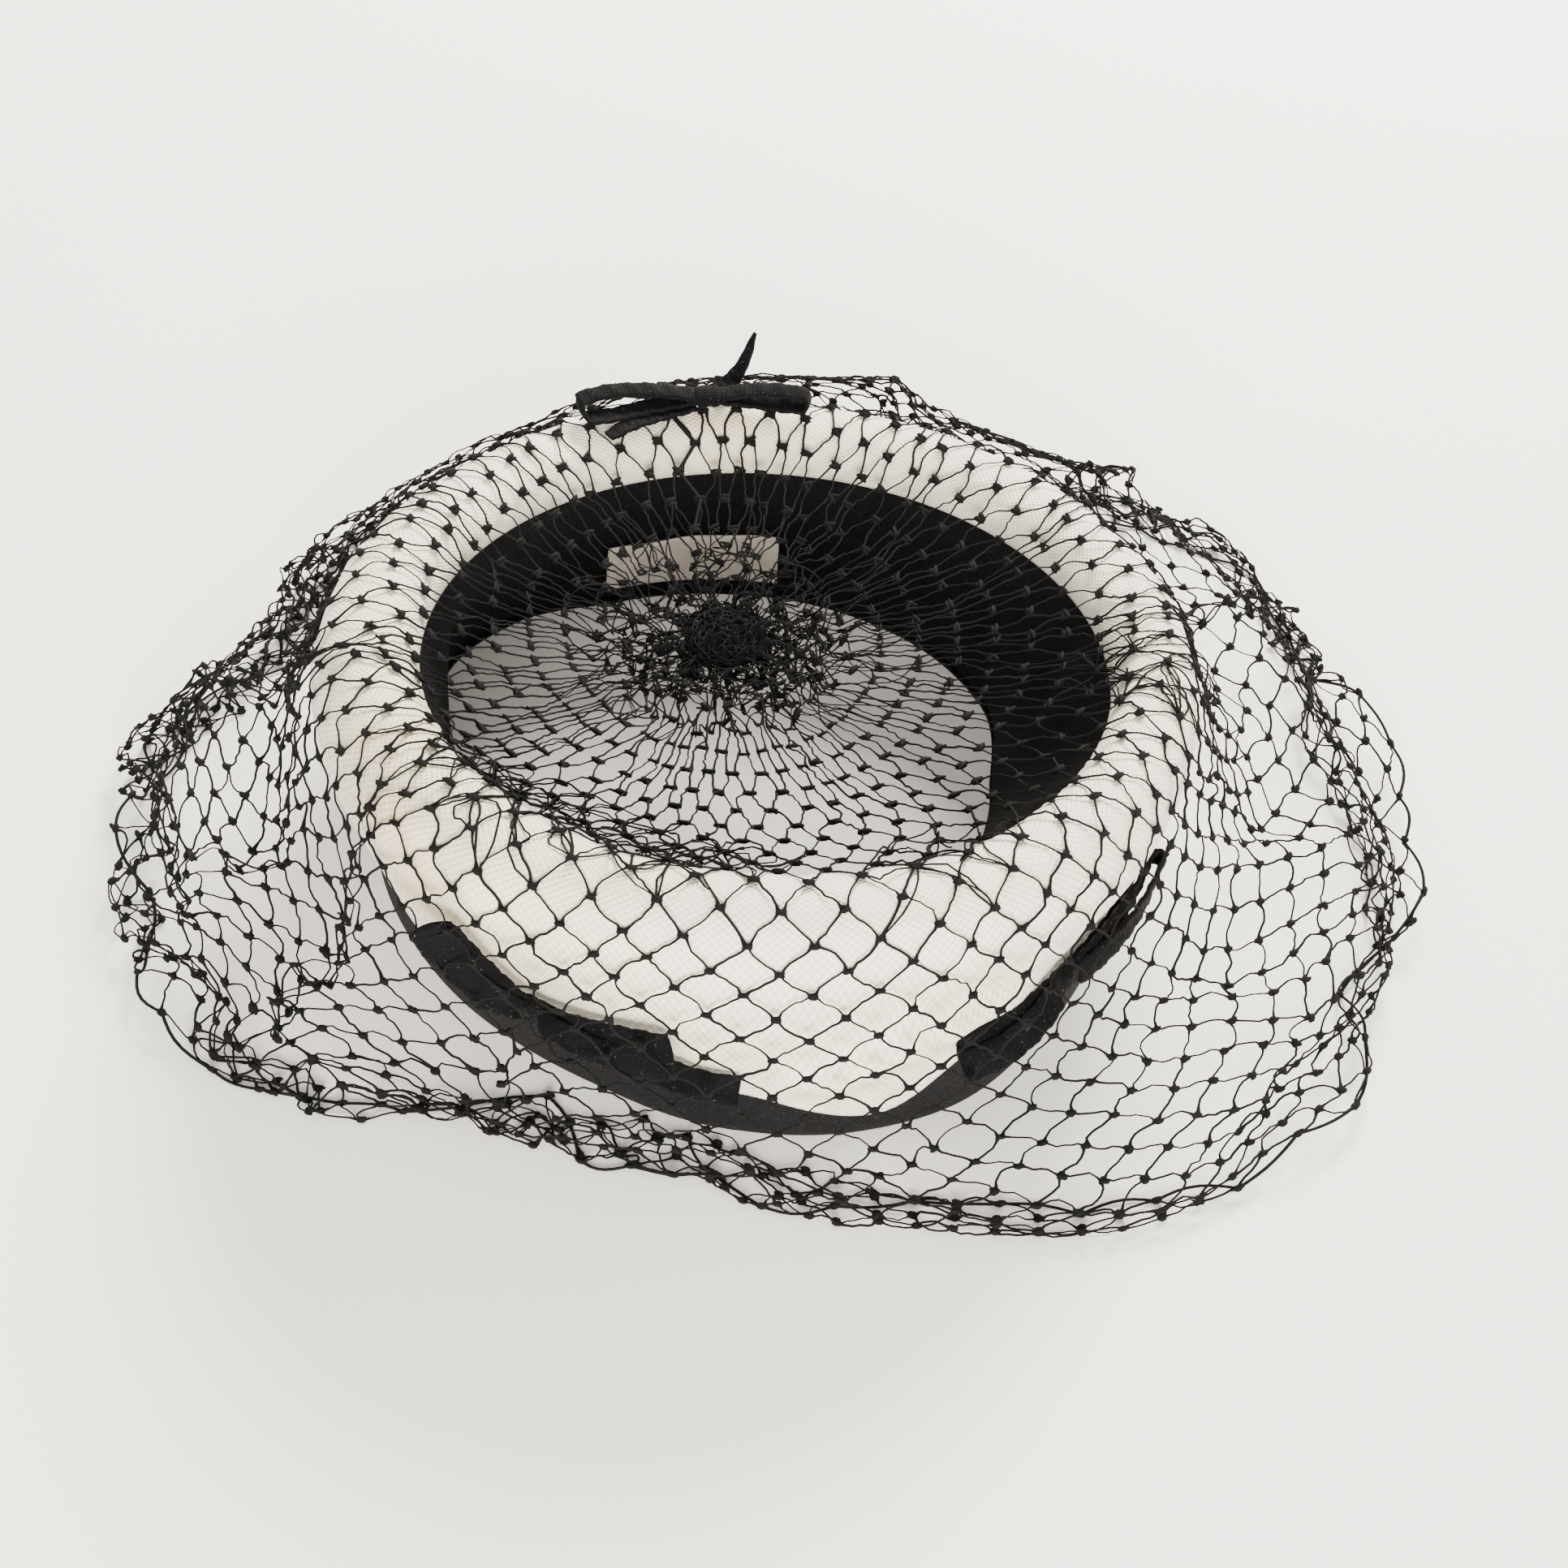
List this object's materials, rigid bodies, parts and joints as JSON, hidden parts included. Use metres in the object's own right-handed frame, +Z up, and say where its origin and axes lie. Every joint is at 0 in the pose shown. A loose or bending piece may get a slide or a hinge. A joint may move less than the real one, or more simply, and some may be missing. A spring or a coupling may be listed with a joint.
{
  "type": "open-crown pillbox hat with a net veil and ribbon bows",
  "caption": "Ivory satin ring hat with an open crown, black base band and lining, velvet ribbon bows and a black knotted net veil spread over it.",
  "frame": {"origin": "middle of the bounding box at the level of the surface that the hat lies on", "axes": "+Z up, -Y towards the front of the hat, +X towards the wearer's left"},
  "size_m": [0.3268, 0.3058, 0.0861],
  "materials": {
    "satin": "ivory satin with a fine basket weave",
    "grosgrain": "black ribbed ribbon",
    "lining_cloth": "dull black cloth",
    "label_cloth": "plain off-white cloth",
    "velvet": "black velvet ribbon",
    "net_thread": "black knotted net thread"
  },
  "bodies": {
    "root": {"satin_cover": "satin", "base_band": "grosgrain", "lining": "lining_cloth", "label": "label_cloth", "bow_front_left_knot": "velvet", "bow_front_left_loop_up": "velvet", "bow_front_left_loop_right": "velvet", "bow_front_left_tail_right": "velvet", "bow_front_left_tail_left": "velvet", "bow_front_right_knot": "velvet", "bow_front_right_loop_left": "velvet", "bow_front_right_loop_right": "velvet", "bow_front_right_tail_right": "velvet", "bow_back_knot": "velvet", "bow_back_loop_left": "velvet", "bow_back_loop_right": "velvet", "bow_back_tail_left": "velvet", "bow_back_tail_spike": "velvet", "veil_skirt": "net_thread", "veil_crown": "net_thread", "veil_gather": "net_thread"}
  },
  "joints": []
}
